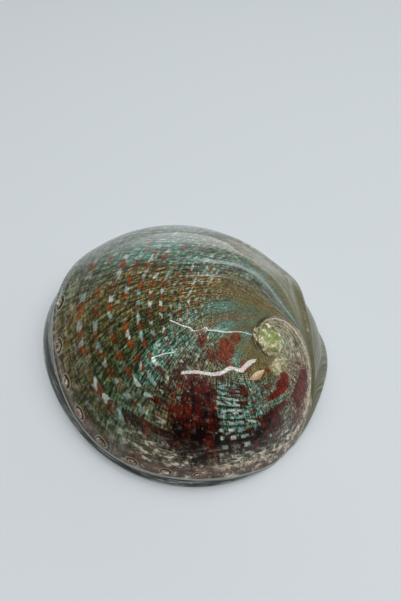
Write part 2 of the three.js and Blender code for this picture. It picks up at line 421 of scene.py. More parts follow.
# %% Points of the wall
COLUMNS = 512
OUTER_RINGS = 166
LIP_RINGS = 4
INNER_RINGS = 24
WALL_AT_CROWN = 2.6
WALL_AT_RIM = 2.2
LEDGE_WIDTH = 6
LEDGE_HEIGHT = 5
LEDGE_MIDDLE = 190
LEDGE_HALF_SPAN = 80
print("grid of", COLUMNS, "columns by", OUTER_RINGS + LIP_RINGS + INNER_RINGS, "rings")


def outer_point(turn, slope):
    base = outer_dome(turn, slope)
    return base + outer_normal(turn, slope) * relief(base)[..., None]


def inner_point(turn, slope):
    point = dome(turn, slope, rim_radius(turn) - WALL_AT_RIM, CROWN_HEIGHT - WALL_AT_CROWN)
    middle = LEDGE_MIDDLE * DEGREE
    from_middle = np.abs(np.arctan2(np.sin(turn - middle), np.cos(turn - middle)))
    along = smooth(0, 0.5, 1 - from_middle / (LEDGE_HALF_SPAN * DEGREE))
    ledge = LEDGE_WIDTH * along * (1 - smooth(0.3 * LEDGE_HEIGHT, LEDGE_HEIGHT, point[..., 2]))
    shrink = 1 - ledge / np.maximum(np.hypot(point[..., 0], point[..., 1]), LEDGE_WIDTH)
    point = point * np.stack([shrink, shrink, np.ones_like(shrink)], -1)
    sunk = np.minimum(relief(outer_dome(turn, slope)), 0)
    return point + outer_normal(turn, slope) * sunk[..., None]


# %% Rings of the outside, the lip and the inside
turns = np.arange(COLUMNS) * 2 * math.pi / COLUMNS
outer_slopes = np.arange(1, OUTER_RINGS + 1) / OUTER_RINGS * math.pi / 2
inner_slopes = np.arange(INNER_RINGS, 0, -1) / INNER_RINGS * math.pi / 2
outer_rings = outer_point(*np.meshgrid(turns, outer_slopes))
inner_rings = inner_point(*np.meshgrid(turns, inner_slopes))


def lip_ring(step):
    around = math.pi * step / (LIP_RINGS + 1)
    inward = (1 - math.cos(around)) / 2
    ring = outer_rings[-1] + (inner_rings[0] - outer_rings[-1]) * inward
    ring[:, 2] = LIP_LIFT * (1 - math.sin(around))
    return ring


lip_rings = np.array([lip_ring(step) for step in range(1, LIP_RINGS + 1)])
crown = outer_point(np.array([0.0]), np.array([0.0]))
vault = inner_point(np.array([0.0]), np.array([0.0]))
rings = np.concatenate([outer_rings, lip_rings, inner_rings])
points = np.concatenate([crown, rings.reshape(-1, 3), vault])
middle = (points.min(0) + points.max(0)) / 2
shift = np.array([middle[0], middle[1], points[:, 2].min()])
print("wall of", len(points), "points; size", np.round(points.max(0) - points.min(0), 1), "mm")

# %% Growth coordinates and masks on every point
ring_count = len(rings)
outer_count = 1 + OUTER_RINGS * COLUMNS
base_points = np.concatenate([
    outer_dome(np.array([0.0]), np.array([0.0])),
    outer_dome(*np.meshgrid(turns, outer_slopes)).reshape(-1, 3),
    points[outer_count:],
])
radius_at, angle_at, share_at, age_at = spiral_place(base_points[:, 0], base_points[:, 1])
outward_at = beyond_keel(base_points, radius_at, angle_at)
step_at, _ = past_older_keel(base_points, radius_at, angle_at)
hole_at = np.min([hole_distance(base_points, hole) for hole in holes], axis=0)
inside_at = np.zeros(len(points))
inside_at[outer_count + LIP_RINGS // 2 * COLUMNS:] = 1
masks = {"age": age_at, "share": share_at, "hole": hole_at, "inside": inside_at,
         "spire": radius_at, "outward": outward_at, "step": step_at}
print("age runs from", round(float(age_at.min())), "to", round(float(age_at.max())), "degrees of growth")

# %% [markdown]
# ## The mesh
#
# The rings are joined into quads, with fans of triangles at the two crowns. The growth coordinates ride on
# the face corners, so that they stay right when the holes are cut. One set of texture coordinates, a large
# disc for the outside and a small one for the inside, gives the wall a clean flat map.

# %% The flat map
def disc_map(count_rings, radius, centre, outwards):
    steps = np.arange(1, count_rings + 1) / count_rings
    reach = radius * (steps if outwards else steps[::-1])
    u = centre[0] + reach[:, None] * np.cos(turns)
    v = centre[1] + reach[:, None] * np.sin(turns)
    return np.stack([u, v], -1)


OUTSIDE_DISC = (0.375, 0.625)
OUTSIDE_DISC_RADIUS = 0.36
INSIDE_DISC = (0.80, 0.20)
INSIDE_DISC_RADIUS = 0.185
map_points = np.concatenate([
    np.array([OUTSIDE_DISC]),
    disc_map(OUTER_RINGS, OUTSIDE_DISC_RADIUS, OUTSIDE_DISC, True).reshape(-1, 2),
    disc_map(LIP_RINGS + INNER_RINGS, INSIDE_DISC_RADIUS, INSIDE_DISC, False).reshape(-1, 2),
    np.array([INSIDE_DISC]),
])
print("flat map of", len(map_points), "points")


# %% Faces, and a helper that makes an object
def wall_faces():
    at = lambda ring, column: 1 + ring * COLUMNS + column % COLUMNS
    last = len(points) - 1
    faces = []
    for column in range(COLUMNS):
        faces.append((0, at(0, column), at(0, column + 1)))
        for ring in range(ring_count - 1):
            faces.append((at(ring, column), at(ring + 1, column),
                          at(ring + 1, column + 1), at(ring, column + 1)))
        faces.append((last, at(ring_count - 1, column + 1), at(ring_count - 1, column)))
    return faces


faces = wall_faces()
print(len(faces), "faces join the rings")


def make_object(name, coords, faces):
    mesh = bpy.data.meshes.new(name)
    mesh.from_pydata([tuple(point) for point in coords], [], faces)
    thing = bpy.data.objects.new(name, mesh)
    bpy.context.scene.collection.objects.link(thing)
    return thing


def set_corner_values(mesh, name, values):
    layer = mesh.attributes.new(name, "FLOAT", "CORNER")
    layer.data.foreach_set("value", np.asarray(values, dtype=np.float32))


# %% The shell's mesh and what rides on its corners
shell = make_object("polished_shell", (points - shift) * MM, faces)
corner_vertex = np.zeros(len(shell.data.loops), dtype=np.int32)
shell.data.loops.foreach_get("vertex_index", corner_vertex)
for name, values in masks.items():
    set_corner_values(shell.data, name, values[corner_vertex])
flat_map = shell.data.uv_layers.new(name="OFBake")
flat_map.data.foreach_set("uv", map_points[corner_vertex].astype(np.float32).ravel())
print("shell mesh:", len(shell.data.vertices), "points,", len(shell.data.polygons), "faces")

# %% [markdown]
# ## Cutting the open holes
#
# Each open hole is an oval bar pushed through the wall and taken away with a boolean. A boolean is right
# here because the hole goes through both skins and needs a clean edge. The bar widens a little outwards.

# %% The shape of one bar
BAR_SIDES = 40
BAR_REACH = 7
BAR_FLARE = 1.12
# the walls of a cut hole take these values, and the hole distance of -1 gives them the painted shade of the
# bore
MASKS_ON_BARS = {"age": 60, "share": 0, "hole": -1, "inside": 0, "spire": 60, "outward": 0, "step": 20}


def bar_points(hole):
    rings_of_bar = []
    for reach, flare in ((BAR_REACH, BAR_FLARE), (-BAR_REACH, 1 / BAR_FLARE)):
        for side in range(BAR_SIDES):
            around = 2 * math.pi * side / BAR_SIDES
            offset = (hole["along"] * hole["half_length"] * math.cos(around)
                      + hole["across"] * hole["half_width"] * math.sin(around)) * flare
            rings_of_bar.append(hole["centre"] + offset + hole["normal"] * reach)
    return rings_of_bar


print("each bar reaches", BAR_REACH, "mm out and in from the skin")

# %% The bars as one object
MAP_STRIP = 0.11  # each bar's side has its own strip of the flat map, this far from the next
MAP_STRIP_WIDTH = 0.1
MAP_LOW, MAP_HIGH = 0.02, 0.2
bar_coords, bar_faces, bar_map = [], [], []
for index, hole in enumerate(holes[:OPEN_HOLES]):
    first = len(bar_coords)
    bar_coords += bar_points(hole)
    for side in range(BAR_SIDES):
        after = (side + 1) % BAR_SIDES
        bar_faces.append((first + side, first + BAR_SIDES + side, first + BAR_SIDES + after, first + after))
        left = MAP_LOW + MAP_STRIP * index + MAP_STRIP_WIDTH * side / BAR_SIDES
        right = left + MAP_STRIP_WIDTH / BAR_SIDES
        bar_map += [(left, MAP_HIGH), (left, MAP_LOW), (right, MAP_LOW), (right, MAP_HIGH)]
    bar_faces.append(tuple(first + side for side in range(BAR_SIDES)))
    bar_faces.append(tuple(first + BAR_SIDES + side for side in reversed(range(BAR_SIDES))))
    bar_map += [(0.6, 0.6)] * (2 * BAR_SIDES)

bars = make_object("hole_bars", (np.array(bar_coords) - shift) * MM, bar_faces)
bar_corners = len(bars.data.loops)
for name, value in MASKS_ON_BARS.items():
    set_corner_values(bars.data, name, np.full(bar_corners, value))
bar_uv = bars.data.uv_layers.new(name="OFBake")
bar_uv.data.foreach_set("uv", np.array(bar_map, dtype=np.float32).ravel())
print(OPEN_HOLES, "bars with", len(bars.data.polygons), "faces")

# %% Take the bars away from the wall
cut = shell.modifiers.new("holes", "BOOLEAN")
cut.operation = "DIFFERENCE"
cut.solver = "EXACT"
cut.object = bars
bpy.context.view_layer.update()
carved = bpy.data.meshes.new_from_object(shell.evaluated_get(bpy.context.evaluated_depsgraph_get()))
shell.modifiers.clear()
shell.data = carved
shell.data.shade_smooth()
bpy.data.objects.remove(bars)
print("after cutting:", len(carved.vertices), "points,", [a.name for a in carved.attributes])

# %% [markdown]
# ## Node helpers
#
# Procedural materials are small sums. These helpers let a sum be written as one line of code, with plain
# numbers and sockets mixed freely.

# %% Helpers for materials
class Nodes:
    def __init__(self, owner):
        owner.use_nodes = True
        self.owner = owner
        self.tree = owner.node_tree
        self.tree.nodes.clear()

    def node(self, kind, inputs=(), **settings):
        made = self.tree.nodes.new(kind)
        for key, value in settings.items():
            setattr(made, key, value)
        for key, value in dict(inputs).items():
            self.feed(made.inputs[key], value)
        return made

    def feed(self, socket, value):
        if isinstance(value, bpy.types.NodeSocket):
            self.tree.links.new(value, socket)
        else:
            socket.default_value = value

    def attribute(self, name):
        return self.node("ShaderNodeAttribute", attribute_name=name).outputs["Fac"]

    def math(self, operation, *values):
        made = self.node("ShaderNodeMath", operation=operation)
        for socket, value in zip(made.inputs, values):
            self.feed(socket, value)
        return made.outputs[0]

    def add(self, a, b):
        return self.math("ADD", a, b)

    def times(self, a, b):
        return self.math("MULTIPLY", a, b)

    def ramp(self, value, start, end, low=0.0, high=1.0):
        """A soft step: low up to start, high from end on. Start may be the larger one."""
        made = self.node("ShaderNodeMapRange", {"Value": value, "From Min": start, "From Max": end,
                                                "To Min": low, "To Max": high},
                         interpolation_type="SMOOTHSTEP")
        return made.outputs[0]

    def place(self, x, y, z=0.0):
        return self.node("ShaderNodeCombineXYZ", {"X": x, "Y": y, "Z": z}).outputs[0]

    def noise(self, vector, scale=1.0, detail=2.0, roughness=0.5):
        made = self.node("ShaderNodeTexNoise", {"Vector": vector, "Scale": scale, "Detail": detail,
                                                "Roughness": roughness})
        return made.outputs["Fac"]

    def chance(self, vector):
        """A fixed number from 0 to 1 for each whole x and y."""
        made = self.node("ShaderNodeTexWhiteNoise", {"Vector": vector}, noise_dimensions="2D")
        return made.outputs["Value"]

    def mix(self, amount, a, b, blend="MIX"):
        made = self.node("ShaderNodeMix", data_type="RGBA", blend_type=blend)
        self.feed(made.inputs["Factor"], amount)
        self.feed(made.inputs[6], a)
        self.feed(made.inputs[7], b)
        return made.outputs[2]

    def bands(self, value, stops):
        """Colours at given places from 0 to 1, blended softly from one to the next."""
        made = self.node("ShaderNodeValToRGB", {"Fac": value})
        ramp = made.color_ramp
        ramp.interpolation = "EASE"
        while len(ramp.elements) < len(stops):
            ramp.elements.new(0.5)
        for element, (position, colour) in zip(ramp.elements, stops):
            element.position = position
            element.color = (*colour, 1)
        return made.outputs["Color"]


def rgb(red, green, blue):
    """A colour given as it looks on a screen, 0 to 255, turned into the light it stands for."""
    return tuple((channel / 255) ** 2.2 for channel in (red, green, blue))


def paint(red, green, blue):
    return (*rgb(red, green, blue), 1)


print("a mid grey of 128 stands for", round(rgb(128, 128, 128)[0], 3), "of the light")

# %% [markdown]
# ## The outside: colour laid down in growth
#
# The lacquered outside shows bands of food colour that run with the lip, spiral rows of flecks, blotches of
# dark red, and worn nacre at the spire. Hand painting could not follow the spiral, so the colour is worked
# out from age and share: bands read age, rows read share, and flecks sit where the two meet.

# %% Outside material: coordinates
outside = Nodes(bpy.data.materials.new("lacquered_outside"))
age = outside.attribute("age")
share = outside.attribute("share")
hole = outside.attribute("hole")
spire = outside.attribute("spire")
outward = outside.attribute("outward")
from_step = outside.attribute("step")
spot = outside.node("ShaderNodeTexCoord").outputs["Object"]
AGE_START, AGE_SPAN = -20.0, 300.0
add, times, ramp = outside.add, outside.times, outside.ramp


def far_from(value, middle):
    return outside.math("ABSOLUTE", add(value, -middle))


def drawn_out(across, along, detail=2, roughness=0.5, layer=0.0):
    """Noise from about 0.3 to 0.7, stretched along growth lines or the spiral by its two scales."""
    place = outside.place(times(age, across), times(share, along), layer)
    return outside.noise(place, detail=detail, roughness=roughness)


def about_zero(noise, size):
    return times(add(noise, -0.5), size)


def lay(amount, below, above):
    return outside.mix(amount, below, above)


def report(made):
    print(made + ":", len(outside.tree.nodes), "nodes in the outside material so far")


report("coordinates")

# %% [markdown]
# ## Ground colour
#
# The animal's food tints each season's growth, so the ground is a run of bands that follow the lip. The half
# near the keel and the half near the suture differ, so two ramps of colour read the same drifting age and
# are blended over the share. Ramps are easier to tune than noise, because each band has its own place.


# %% Bands of ground colour
def bands_by_age(value, *stops):
    whorl_age = outside.math("DIVIDE", add(value, -AGE_START), AGE_SPAN)
    return outside.bands(whorl_age, [((at - AGE_START) / AGE_SPAN, colour) for at, colour in stops])


drift = drawn_out(0.06, 10, detail=3)
band_age = add(age, about_zero(drift, 22))
outer_ground = bands_by_age(
    band_age,
    (-20, rgb(104, 104, 86)), (20, rgb(98, 110, 96)), (32, rgb(88, 98, 80)), (45, rgb(90, 82, 54)),
    (58, rgb(76, 74, 46)), (68, rgb(56, 62, 36)), (78, rgb(58, 66, 42)), (87, rgb(74, 94, 76)),
    (97, rgb(80, 84, 62)), (106, rgb(76, 62, 42)), (118, rgb(78, 56, 38)), (129, rgb(70, 86, 66)),
    (136, rgb(78, 98, 80)), (147, rgb(78, 88, 72)), (158, rgb(84, 96, 82)), (175, rgb(96, 98, 82)),
    (190, rgb(100, 92, 74)), (215, rgb(118, 106, 86)), (280, rgb(108, 98, 76)))
inner_ground = bands_by_age(
    band_age,
    (-20, rgb(110, 106, 84)), (10, rgb(108, 108, 88)), (20, rgb(112, 104, 76)), (31, rgb(92, 112, 98)),
    (40, rgb(88, 102, 90)), (50, rgb(104, 94, 64)), (62, rgb(102, 92, 62)), (75, rgb(84, 96, 74)),
    (88, rgb(90, 96, 74)), (95, rgb(104, 92, 72)), (104, rgb(86, 102, 82)), (118, rgb(94, 92, 66)),
    (132, rgb(88, 90, 66)), (145, rgb(94, 106, 82)), (156, rgb(100, 94, 60)), (170, rgb(98, 90, 54)),
    (190, rgb(108, 98, 66)), (230, rgb(134, 126, 96)), (280, rgb(118, 120, 84)))
inward = ramp(add(share, about_zero(drift, 0.14)), 0.22, 0.34)
ground = lay(inward, outer_ground, inner_ground)
report("ground bands")

# %% [markdown]
# ## Teal clouds
#
# Where the outer layer is thin, nacre shines through as teal clouds. Each cloud is an oval drawn in age and
# share with a frayed edge, so it stretches along the growth as the real ones do.

# %% Teal clouds
TEAL_CLOUDS = (
    # age, share, half the age span, half the share span
    (35, 0.27, 5, 0.05), (29, 0.16, 6, 0.1), (88, 0.22, 8, 0.1), (97, 0.31, 8, 0.035),
    (134, 0.16, 8, 0.09), (149, 0.12, 7, 0.05), (144, 0.42, 5, 0.07), (176, 0.135, 12, 0.014),
    (78, 0.5, 7, 0.1), (80, 0.34, 6, 0.03), (106, 0.52, 9, 0.1), (133, 0.71, 8, 0.06),
    (152, 0.27, 6, 0.02),
)


def oval(at_age, at_share, half_age, half_share, fray, power=2.0):
    """How far a point is from the middle of an oval drawn in age and share: 1 at its frayed edge."""
    off_age = outside.math("DIVIDE", far_from(age, at_age), half_age)
    off_share = outside.math("DIVIDE", far_from(share, at_share), half_share)
    total = add(outside.math("POWER", off_age, power), outside.math("POWER", off_share, power))
    return add(total, fray)


def highest(values):
    total = values[0]
    for value in values[1:]:
        total = outside.math("MAXIMUM", total, value)
    return total


cloud_fray = about_zero(drawn_out(0.5, 24, detail=3, layer=7.0), 3.0)
teal = highest([ramp(oval(*cloud, cloud_fray), 1.7, 0.1) for cloud in TEAL_CLOUDS])
ground = lay(times(teal, 0.68), ground, paint(80, 120, 106))
report(str(len(TEAL_CLOUDS)) + " teal clouds")

# %% [markdown]
# ## Weave
#
# Up close the colour is woven from fine growth lines and spiral threads. Noises stretched along one
# direction or the other are multiplied over the ground, with a fine grain near the keel. The weave is strong
# near the keel and soft near the suture, where the polish went deeper.

# %% Weave of growth lines and spiral threads
lines = drawn_out(0.75, 9, detail=4, roughness=0.8)
threads = drawn_out(0.10, 150, detail=3, roughness=0.7, layer=2.0)
dashes = drawn_out(0.9, 70, detail=4, roughness=0.65, layer=5.0)
tints = drawn_out(0.6, 45, detail=3, roughness=0.6, layer=8.0)
ground = lay(ramp(tints, 0.54, 0.64, 0.0, 0.35), ground, paint(100, 124, 98))
ground = lay(ramp(tints, 0.46, 0.38, 0.0, 0.6), ground, paint(84, 48, 26))
line_depth = ramp(share, 0.03, 0.14, 0.25, 1.0)
line_shade = add(times(ramp(lines, 0.39, 0.61, -0.8, 0.75), line_depth), 1)
thread_shade = ramp(threads, 0.4, 0.6, 0.66, 1.5)
dash_shade = ramp(dashes, 0.41, 0.6, 0.33, 1.75)
weave = times(times(line_shade, thread_shade), dash_shade)
grain = outside.noise(spot, scale=950.0, detail=3, roughness=0.8)
grain = times(ramp(grain, 0.4, 0.6, -0.4, 0.45), ramp(share, 0.4, 0.2))
weave = times(weave, add(grain, 1))
weave_strength = times(ramp(share, 0.6, 0.3, 0.5, 1.0), ramp(age, 18, 52, 0.55, 1.0))
report("weave")


def woven(colour, strength):
    shade = add(times(add(weave, -1), strength), 1)
    return outside.mix(1.0, colour, outside.place(shade, shade, shade), "MULTIPLY")


# %% [markdown]
# ## Rows of flecks
#
# Red and pale flecks sit in rows along the spiral, one after the other at even steps of growth. The share
# counted in rows and the age counted in steps give every fleck a cell of its own, and a chance for each cell
# and row makes some flecks strong and leaves others out. Noise on the edges keeps them from looking printed.

# %% Rows for the flecks
ROWS = 31
ROW_START = 0.2
FLECK_STEP = 7.6
row_drift = about_zero(drawn_out(0.035, 5, detail=1, layer=1.0), 0.5)
fringe = about_zero(drawn_out(0.9, 90, detail=2, layer=3.0), 0.2)
row = add(times(share, ROWS), add(ROW_START, row_drift))
row_number = outside.math("FLOOR", row)
across_row = far_from(outside.math("FRACT", row), 0.5)


def row_chance(layer):
    return outside.chance(outside.place(row_number, layer))


step = add(outside.math("DIVIDE", age, FLECK_STEP), times(row_chance(3.0), 9))
step = add(step, about_zero(drawn_out(0.11, 60, detail=1, layer=6.0), 1.6))
RED_FLECK = (0.70, 0.3, 0.23)  # middle, half length and half width, in shares of a fleck's cell
PALE_FLECK = (0.26, 0.24, 0.22)
step_number = outside.math("FLOOR", step)
along_row = outside.math("FRACT", step)


def step_chance(layer):
    return outside.chance(outside.place(add(step_number, layer), row_number))


def fleck(place_in_step, middle, half_length, half_width):
    off_middle = far_from(place_in_step, middle)
    length = ramp(add(off_middle, fringe), half_length, half_length * 0.5)
    width = ramp(add(across_row, fringe), half_width, half_width * 0.4)
    return times(length, width)


flecked = times(ramp(age, 20, 32), ramp(share, 0.012, 0.03))
flecked = times(flecked, ramp(share, 0.48, 0.34, 0.12, 1.0))
flecked = times(flecked, ramp(age, 172, 150, 0.12, 1.0))
flecked = times(flecked, ramp(row_chance(21.0), 0.0, 0.5, 0.45, 1.0))
report(str(ROWS) + " rows")

# %% Orange and red flecks
red_luck = ramp(step_chance(71.0), 0.1, 0.5, 0.1, 1.0)
red_fleck = times(times(fleck(along_row, *RED_FLECK), red_luck), flecked)
orange_to_red = ramp(add(age, times(share, -60)), 50, 92)
fleck_red = lay(orange_to_red, paint(128, 60, 20), paint(94, 24, 12))
woven_ground = woven(ground, weave_strength)
pattern = lay(times(red_fleck, 0.9), woven_ground, woven(fleck_red, 0.4))
report("red flecks")

# %% Fine dark cracks along the growth lines
cracks = ramp(drawn_out(1.3, 5, detail=2, roughness=0.6, layer=31.0), 0.4, 0.33)
cracks = times(cracks, times(ramp(age, 52, 76, 0.35, 1.0), ramp(age, 108, 98)))
cracks = times(cracks, ramp(share, 0.24, 0.1))
pattern = lay(times(cracks, 0.85), pattern, paint(12, 16, 10))
report("cracks")

# %% [markdown]
# ## Dark red blotches
#
# Red feed leaves broad patches, the largest of them a band from the keel inwards. They are ovals in age and
# share like the clouds, but with a squarer outline and an edge cut into teeth by the rows, because the colour
# stops at a spiral thread.

# %% Dark red blotches
BLOTCHES = (
    # age, share, half the age span, half the share span, strength
    (117, 0.135, 11, 0.12, 1.0), (116, 0.08, 11, 0.055, 1.0),
    (104, 0.048, 17, 0.012, 0.8), (122, 0.055, 16, 0.022, 0.9),
    (101, 0.105, 6, 0.01, 0.8), (100, 0.14, 7, 0.01, 0.8), (103, 0.195, 6, 0.01, 0.8),
    (145, 0.055, 10, 0.026, 0.95), (161, 0.08, 11, 0.032, 0.95), (172, 0.105, 12, 0.016, 0.85),
    (138, 0.22, 3.5, 0.026, 0.9), (146, 0.228, 4, 0.034, 0.95), (143, 0.17, 6, 0.014, 0.9),
    (184, 0.168, 22, 0.022, 1.0), (196, 0.2, 14, 0.034, 1.0), (203, 0.228, 7, 0.042, 1.0),
    (214, 0.07, 24, 0.042, 1.0), (196, 0.03, 18, 0.014, 0.8), (150, 0.03, 14, 0.01, 0.7),
    (243, 0.13, 6, 0.032, 0.95), (188, 0.355, 8, 0.032, 0.9), (103, 0.36, 4, 0.03, 0.9),
    (117, 0.345, 5, 0.024, 0.85), (127, 0.275, 6, 0.016, 0.85), (128, 0.44, 10, 0.09, 0.95),
    (129, 0.57, 9, 0.06, 0.9), (154, 0.40, 7, 0.045, 0.75), (172, 0.235, 7, 0.016, 0.7),
    (138, 0.36, 6, 0.02, 0.7),
)
row_teeth = times(add(row_chance(9.0), -0.5), 0.7)
blotch_fray = add(row_teeth, about_zero(drawn_out(0.55, 85, detail=4, roughness=0.6, layer=9.0), 2.8))
red_patch = highest([
    times(ramp(oval(*values[:4], blotch_fray, 2.6), 1.25, 0.75), values[4])
    for values in BLOTCHES])
report(str(len(BLOTCHES)) + " blotches")

# %% Reds of the blotches, brighter on the older side
glow = drawn_out(0.16, 22, detail=3, roughness=0.7, layer=18.0)
glow = add(times(glow, 0.75), times(lines, 0.25))
old_red = lay(ramp(age, 150, 195), paint(80, 28, 14), paint(112, 32, 17))
old_red = lay(ramp(share, 0.3, 0.4), old_red, paint(116, 52, 28))
dark_red = lay(ramp(age, 150, 175), paint(22, 5, 3), paint(66, 10, 6))
dark_red = lay(ramp(share, 0.3, 0.4), dark_red, paint(78, 28, 16))
glow = add(glow, ramp(share, 0.05, 0.24, -0.03, 0.05))
blotch_red = lay(ramp(glow, 0.43, 0.6), dark_red, old_red)
pattern = lay(red_patch, pattern, woven(blotch_red, 0.5))
report("blotch reds")

# %% [markdown]
# ## Pale flecks and teeth
#
# Pale flecks are scattered in the same rows. Just past the red band they line up in short columns of teeth
# with dark gaps, so there they get cells of their own: finer rows, even steps and a start that each row
# shifts a little.

# %% White flecks
luck = step_chance(0.0)
white_fleck = times(fleck(along_row, *PALE_FLECK), ramp(luck, 0.12, 0.45, 0.1, 1.0))
white_fleck = times(white_fleck, ramp(red_patch, 0.8, 0.2, 0.1, 1.0))
report("white flecks")

# %% Teeth after the red band
TEETH_START, TEETH_END, TEETH_STEP = 127.5, 146, 6.0
FINE_ROWS = 1.6  # rows of teeth to one row of flecks
tooth_shift = add(times(row_chance(41.0), 3), about_zero(drawn_out(0.2, 40, layer=19.0), 6))
tooth_step = outside.math("DIVIDE", add(add(age, tooth_shift), -TEETH_START), TEETH_STEP)
in_teeth = times(ramp(age, TEETH_START - 1, TEETH_START), ramp(age, TEETH_END, TEETH_END - TEETH_STEP))
in_teeth = times(in_teeth, ramp(share, 0.26, 0.21))
fine_row = times(row, FINE_ROWS)
across_fine_row = far_from(outside.math("FRACT", fine_row), 0.5)
tooth_along = far_from(outside.math("FRACT", tooth_step), 0.4)
tooth = ramp(add(tooth_along, fringe), 0.36, 0.16)
tooth = times(tooth, ramp(add(across_fine_row, fringe), 0.3, 0.12))
tooth_row = add(outside.math("FLOOR", fine_row), 50)
tooth_luck = outside.chance(outside.place(outside.math("FLOOR", tooth_step), tooth_row))
tooth = times(tooth, ramp(tooth_luck, 0.15, 0.45, 0.1, 1.0))
report("teeth")

# %% Lay the pale flecks, the teeth and small glints over the pattern
white_fleck = outside.math("MAXIMUM", times(white_fleck, flecked), times(tooth, in_teeth))
pale = woven(lay(ramp(luck, 0.6, 0.9), paint(176, 186, 176), paint(128, 158, 152)), 0.3)
tooth_gap = times(ramp(across_fine_row, 0.3, 0.42), in_teeth)
pattern = lay(times(tooth_gap, 0.8), pattern, paint(20, 28, 20))
glints = ramp(drawn_out(0.8, 90, detail=2, roughness=0.7, layer=15.0), 0.62, 0.7, 0.0, 0.5)
pattern = lay(times(glints, weave_strength), pattern, paint(140, 150, 124))
pattern = lay(times(white_fleck, 0.88), pattern, pale)
report("pale pattern")

# %% Pale streaks along the growth lines in the teal clouds
streak_noise = drawn_out(0.42, 16, detail=2, layer=12.0)
streaks = times(ramp(streak_noise, 0.57, 0.66), teal)
streaks = times(streaks, ramp(share, 0.26, 0.34))
pattern = lay(times(streaks, 0.75), pattern, paint(150, 178, 176))
report("streaks")

# %% [markdown]
# ## Worn nacre at the spire
#
# The spire is the oldest part and stands proud, so polishing wears it through to nacre: cream flakes with
# brown between them and a green heart. The wear is rough at its edge, so noise in plain space is used here
# and not noise drawn along the growth.

# %% Worn nacre at the spire
flakes = outside.noise(spot, scale=520.0, detail=5, roughness=0.75)
clouds = outside.noise(spot, scale=230.0, detail=3)
WORN_PATCH = (216, 0.34, 36, 0.12)  # age, share, half the age span, half the share span
nacre_wear = ramp(oval(*WORN_PATCH, about_zero(flakes, 4.0)), 1.3, 0.5)
knob_wear = ramp(add(spire, about_zero(clouds, 2)), KNOB_RADIUS + 0.5, KNOB_RADIUS - 0.4)
spire_wear = outside.math("MAXIMUM", times(nacre_wear, 0.8), knob_wear)
spire_wear = ramp(add(times(spire_wear, 0.62), flakes), 0.86, 1.0)
nacre = outside.bands(clouds, ((0.36, rgb(218, 204, 168)), (0.46, rgb(158, 150, 112)),
                               (0.55, rgb(138, 146, 92)), (0.66, rgb(212, 190, 164))))
nacre = lay(ramp(flakes, 0.49, 0.42), nacre, paint(64, 54, 34))
nacre = lay(ramp(flakes, 0.55, 0.6, 0.0, 0.95), nacre, paint(238, 232, 208))
pattern = lay(times(spire_wear, 0.92), pattern, nacre)
green_heart = ramp(add(spire, about_zero(flakes, 18)), 2.8, 0.2, 0.0, 0.66)
pattern = lay(green_heart, pattern, paint(136, 160, 88))
report("spire")

# %% Painted shade: a dark line round the foot of the knob, on its shaded side
SHADED_SIDE = (-0.98, -0.2, 0.0)
spire_place = ((SPIRE[0] - shift[0]) * MM, (SPIRE[1] - shift[1]) * MM, 0.0)
from_spire = outside.node("ShaderNodeVectorMath", {0: spot, 1: spire_place}, operation="SUBTRACT").outputs[0]
to_shaded_side = outside.node("ShaderNodeVectorMath", {0: from_spire, 1: SHADED_SIDE}, operation="DOT_PRODUCT")
knob_foot_shade = outside.math("ABSOLUTE", add(spire, -KNOB_RADIUS - 0.2))
knob_foot_shade = times(ramp(add(knob_foot_shade, about_zero(flakes, 3)), 0.7, 0.2), 0.7)
knob_foot_shade = times(knob_foot_shade, ramp(to_shaded_side.outputs["Value"], 0.0005, 0.004))
# painted shade at the foot of the knob, on one side only
pattern = lay(knob_foot_shade, pattern, paint(44, 36, 20))
report("contour of the knob")

# %% Older whorl beside the knob: fine grey and cream lines along the spiral, with red specks
ribbed = times(ramp(age, 236, 256), ramp(spire, KNOB_RADIUS, KNOB_RADIUS + 0.8))
ribbed = times(ribbed, ramp(share, 0.75, 0.5))
rib_noise = drawn_out(0.05, 42, detail=3, roughness=0.7, layer=23.0)
rib_paint = outside.bands(rib_noise, (
    (0.38, rgb(40, 34, 24)), (0.45, rgb(104, 104, 82)), (0.52, rgb(140, 142, 112)),
    (0.58, rgb(160, 152, 122)), (0.64, rgb(214, 206, 182))))
pattern = lay(times(ribbed, 0.85), pattern, rib_paint)
specks = ramp(drawn_out(0.2, 34, detail=2, layer=33.0), 0.56, 0.62)
specks = times(specks, times(ribbed, ramp(spire, 6.0, 8.0)))
pattern = lay(times(specks, 0.85), pattern, paint(120, 26, 16))
report("older whorl")

# %% A leaf-shaped chip of cream nacre
LEAF_AGE, LEAF_SHARE, LEAF_HALF_AGE, LEAF_HALF_SHARE = 167, 0.333, 13, 0.032
LEAF_SLANT = -0.0028  # how the leaf's middle line leaves the row, in share for each degree of age
leaf_share = add(share, times(add(age, -LEAF_AGE), LEAF_SLANT))
leaf_far = outside.math("POWER", outside.math("DIVIDE", far_from(age, LEAF_AGE), LEAF_HALF_AGE), 1.4)
leaf_wide = outside.math("DIVIDE", far_from(leaf_share, LEAF_SHARE), LEAF_HALF_SHARE)
leaf = ramp(add(add(leaf_far, leaf_wide), about_zero(flakes, 0.6)), 1.05, 0.9)
leaf_colour = lay(ramp(flakes, 0.42, 0.58), paint(176, 134, 100), paint(224, 200, 164))
pattern = lay(leaf, pattern, leaf_colour)
report("chip")

# %% [markdown]
# ## The keel, the crest and the step
#
# The keel is the part that hands and stones rub, so it shows streaks of cream, grey and pink, a pale line on
# its sharp crest and a ragged cream edge on the old side. The step to the older whorl keeps a thin dark line.
# They read the share, the distance out from the keel or the distance past the step, and so stay on the
# edges of the mesh.

